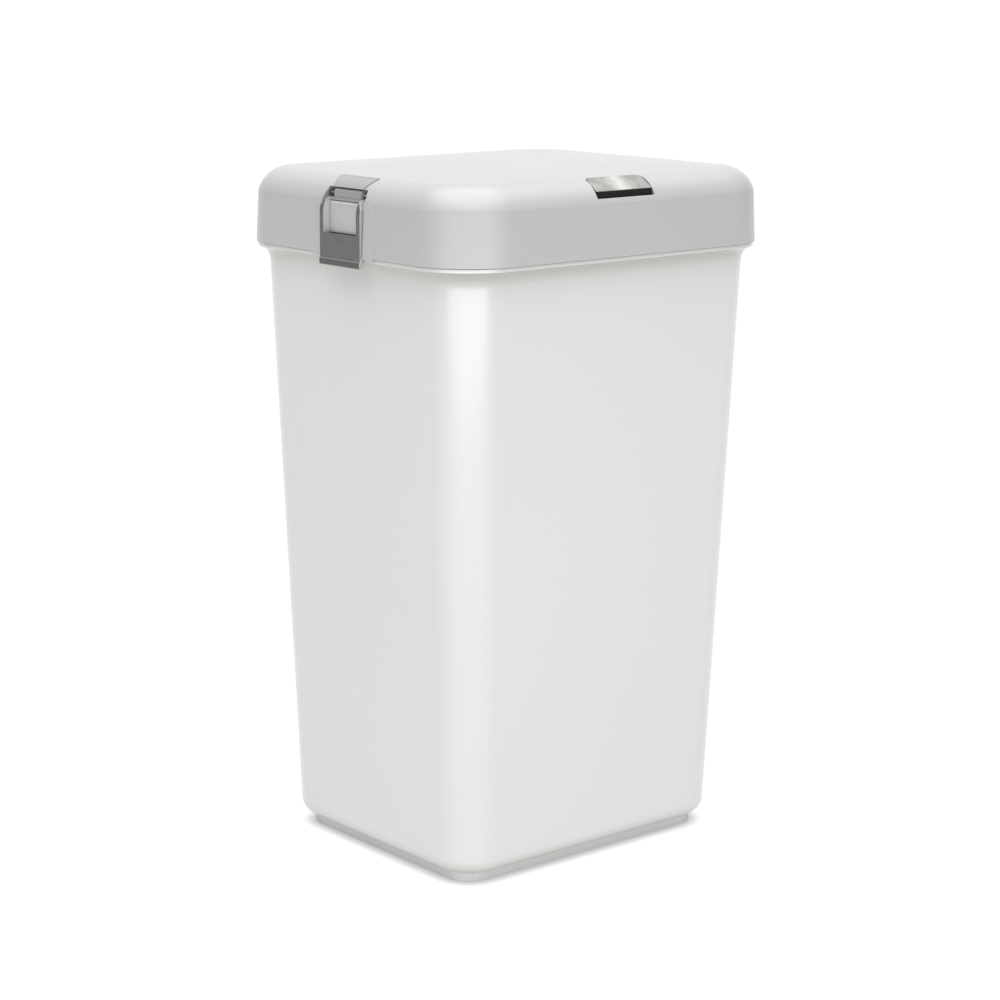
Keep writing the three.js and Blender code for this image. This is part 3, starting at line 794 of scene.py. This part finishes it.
def make_camera():
    back = direction(CAMERA_AZIMUTH, CAMERA_ELEVATION)
    right = Vector((math.cos(CAMERA_AZIMUTH), math.sin(CAMERA_AZIMUTH), 0))
    up = back.cross(right)
    middle = Vector((0, 0, LID_TOP * MM / 2))
    data = bpy.data.cameras.new("camera")
    data.lens = CAMERA_LENS
    data.sensor_width = 36
    data.shift_x = CAMERA_SHIFT
    data.shift_y = CAMERA_SHIFT
    data.clip_end = 100
    camera = bpy.data.objects.new("camera", data)
    camera.location = middle + right * AIM_SIDE + up * AIM_RISE + back * CAMERA_DISTANCE
    camera.rotation_mode = "QUATERNION"
    camera.rotation_quaternion = back.to_track_quat("Z", "Y")
    bpy.context.collection.objects.link(camera)
    bpy.context.scene.camera = camera


def softbox(name, azimuth, distance, size, radiance, height):
    """A level panel of light facing the bin, with radiance 1 as bright as the white background."""
    data = bpy.data.lights.new(name, "AREA")
    data.shape = "RECTANGLE"
    data.size, data.size_y = size
    data.energy = radiance * math.pi * size[0] * size[1]
    light = bpy.data.objects.new(name, data)
    away = direction(azimuth * DEGREE, 0)
    light.location = Vector((0, 0, height)) + away * distance
    light.rotation_mode = "QUATERNION"
    light.rotation_quaternion = away.to_track_quat("Z", "Y")
    bpy.context.collection.objects.link(light)


def make_stage():
    make_floor()
    make_world()
    sun = bpy.data.lights.new("overhead", "SUN")
    sun.energy = OVERHEAD
    sun.angle = OVERHEAD_SPREAD
    overhead = bpy.data.objects.new("overhead", sun)
    overhead.rotation_euler = OVERHEAD_TILT
    bpy.context.collection.objects.link(overhead)
    softbox("near_panel", azimuth=-40, distance=1.4, size=(2.9, 0.44), radiance=PANEL, height=0.32)
    softbox("right_panel", azimuth=-8, distance=1.5, size=(0.7, 0.3), radiance=PANEL * 0.4, height=0.40)


def make_floor():
    """A pale glowing floor, like a light table, with a soft contact shadow round the foot."""
    corners = [(x * FLOOR_REACH, y * FLOOR_REACH, 0) for x, y in ((-1, -1), (1, -1), (1, 1), (-1, 1))]
    floor = piece_from("floor", corners, [(0, 1, 2, 3)])
    shader = Shader("pale_floor", (0.03, 0.03, 0.03), 0.9)
    shader.feed("Roughness", shader.spread(shader.noise(3, 3), 0.85, 0.95))
    shader.principled.inputs["Emission Color"].default_value = (1, 1, 1, 1)
    open_floor = shader.openness(FLOOR_SHADOW_REACH)
    shader.feed("Emission Strength", shader.spread(open_floor, FLOOR_SHADOW, FLOOR_GLOW, 0.15, 0.7))
    shader.principled.inputs["Specular IOR Level"].default_value = 0.0
    floor.data.materials.append(shader.material)


def make_world():
    """A room that is white behind the bin and dim in front, under a ceiling dimmer to the sides."""
    world = bpy.data.worlds.new("white_studio")
    world.use_nodes = True
    nodes, links = world.node_tree.nodes, world.node_tree.links
    place = nodes.new("ShaderNodeTexCoord").outputs["Generated"]

    def along(axis):
        product = nodes.new("ShaderNodeVectorMath")
        product.operation = "DOT_PRODUCT"
        product.inputs[1].default_value = axis
        links.new(place, product.inputs[0])
        return product.outputs["Value"]

    def between(value, start, end, low, high):
        ramp = nodes.new("ShaderNodeMapRange")
        ramp.interpolation_type = "SMOOTHSTEP"
        ramp.inputs["From Min"].default_value = start
        ramp.inputs["From Max"].default_value = end
        for socket, level in ((ramp.inputs["To Min"], low), (ramp.inputs["To Max"], high)):
            if isinstance(level, bpy.types.NodeSocket):
                links.new(level, socket)
            else:
                socket.default_value = level
        links.new(value, ramp.inputs["Value"])
        return ramp.outputs["Result"]

    walls = between(along(direction(CAMERA_AZIMUTH, 0)), *ROOM_FADE, ROOM_BEHIND, ROOM_IN_FRONT)
    to_right = along(direction(CAMERA_AZIMUTH + math.pi / 2, 0))
    near, far = SKY_FADE
    right_half = between(to_right, near, far, SKY, SKY_AT_SIDES)
    sky = between(to_right, -far, -near, SKY_AT_SIDES, right_half)
    lit = between(along((0, 0, 1)), *HORIZON_FADE, walls, sky)
    seen = nodes.new("ShaderNodeLightPath").outputs["Is Camera Ray"]
    links.new(between(seen, 0, 1, lit, ROOM_BEHIND), nodes["Background"].inputs["Strength"])
    nodes["Background"].inputs["Color"].default_value = (1, 1, 1, 1)
    bpy.context.scene.world = world
    bpy.context.scene.view_settings.view_transform = "Standard"


# ---------------------------------------------------------------- assembly

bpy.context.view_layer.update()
materials = make_materials()

fine_pieces = [
    (make_body(), "bin", "bin_body", "body_white", 0.5, nowhere),
    (make_lid(), "lid", "lid_shell", "lid_grey", 0.5, fine_lid_edge),
    (make_cover(-1, "cover_left_fine"), "lid", "latch_cover_left", "latch_silver", 0.15, nowhere),
    (make_cover(1, "cover_right_fine"), "lid", "latch_cover_right", "latch_silver", 0.15, nowhere),
]
for piece, body, node, slot, rounding, finer in fine_pieces:
    dress(piece, materials[slot])
    smooth(piece)
    soften(piece, rounding, finer)
    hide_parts(node)
    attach(piece, body)

cad_looks = {
    "base_tray": ("foot_pale", 0.8),
    "hinge_pin_left": ("pin_steel", 0.2),
    "hinge_pin_right": ("pin_steel", 0.2),
    "catch_housing": ("inner_grey", 0.25),
    "catch_lever": ("catch_chrome", 0.35),
    "catch_pin": ("pin_steel", 0.2),
    "catch_spring": ("pin_steel", 0),
    "catch_screw_left": ("pin_steel", 0.2),
    "catch_screw_right": ("pin_steel", 0.2),
}
for word in ("left", "right"):
    cad_looks[f"latch_arm_{word}"] = ("latch_gunmetal", 0.3)
    cad_looks[f"latch_tab_{word}"] = ("latch_silver", 0.4)
    cad_looks[f"latch_pin_{word}"] = ("pin_steel", 0.2)
    cad_looks[f"latch_spring_{word}"] = ("pin_steel", 0)

for node, (slot, rounding) in cad_looks.items():
    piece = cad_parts[node]
    piece.data.materials.clear()
    piece.data.materials.append(materials[slot])
    if rounding:
        soften(piece, rounding)

make_stage()
make_camera()
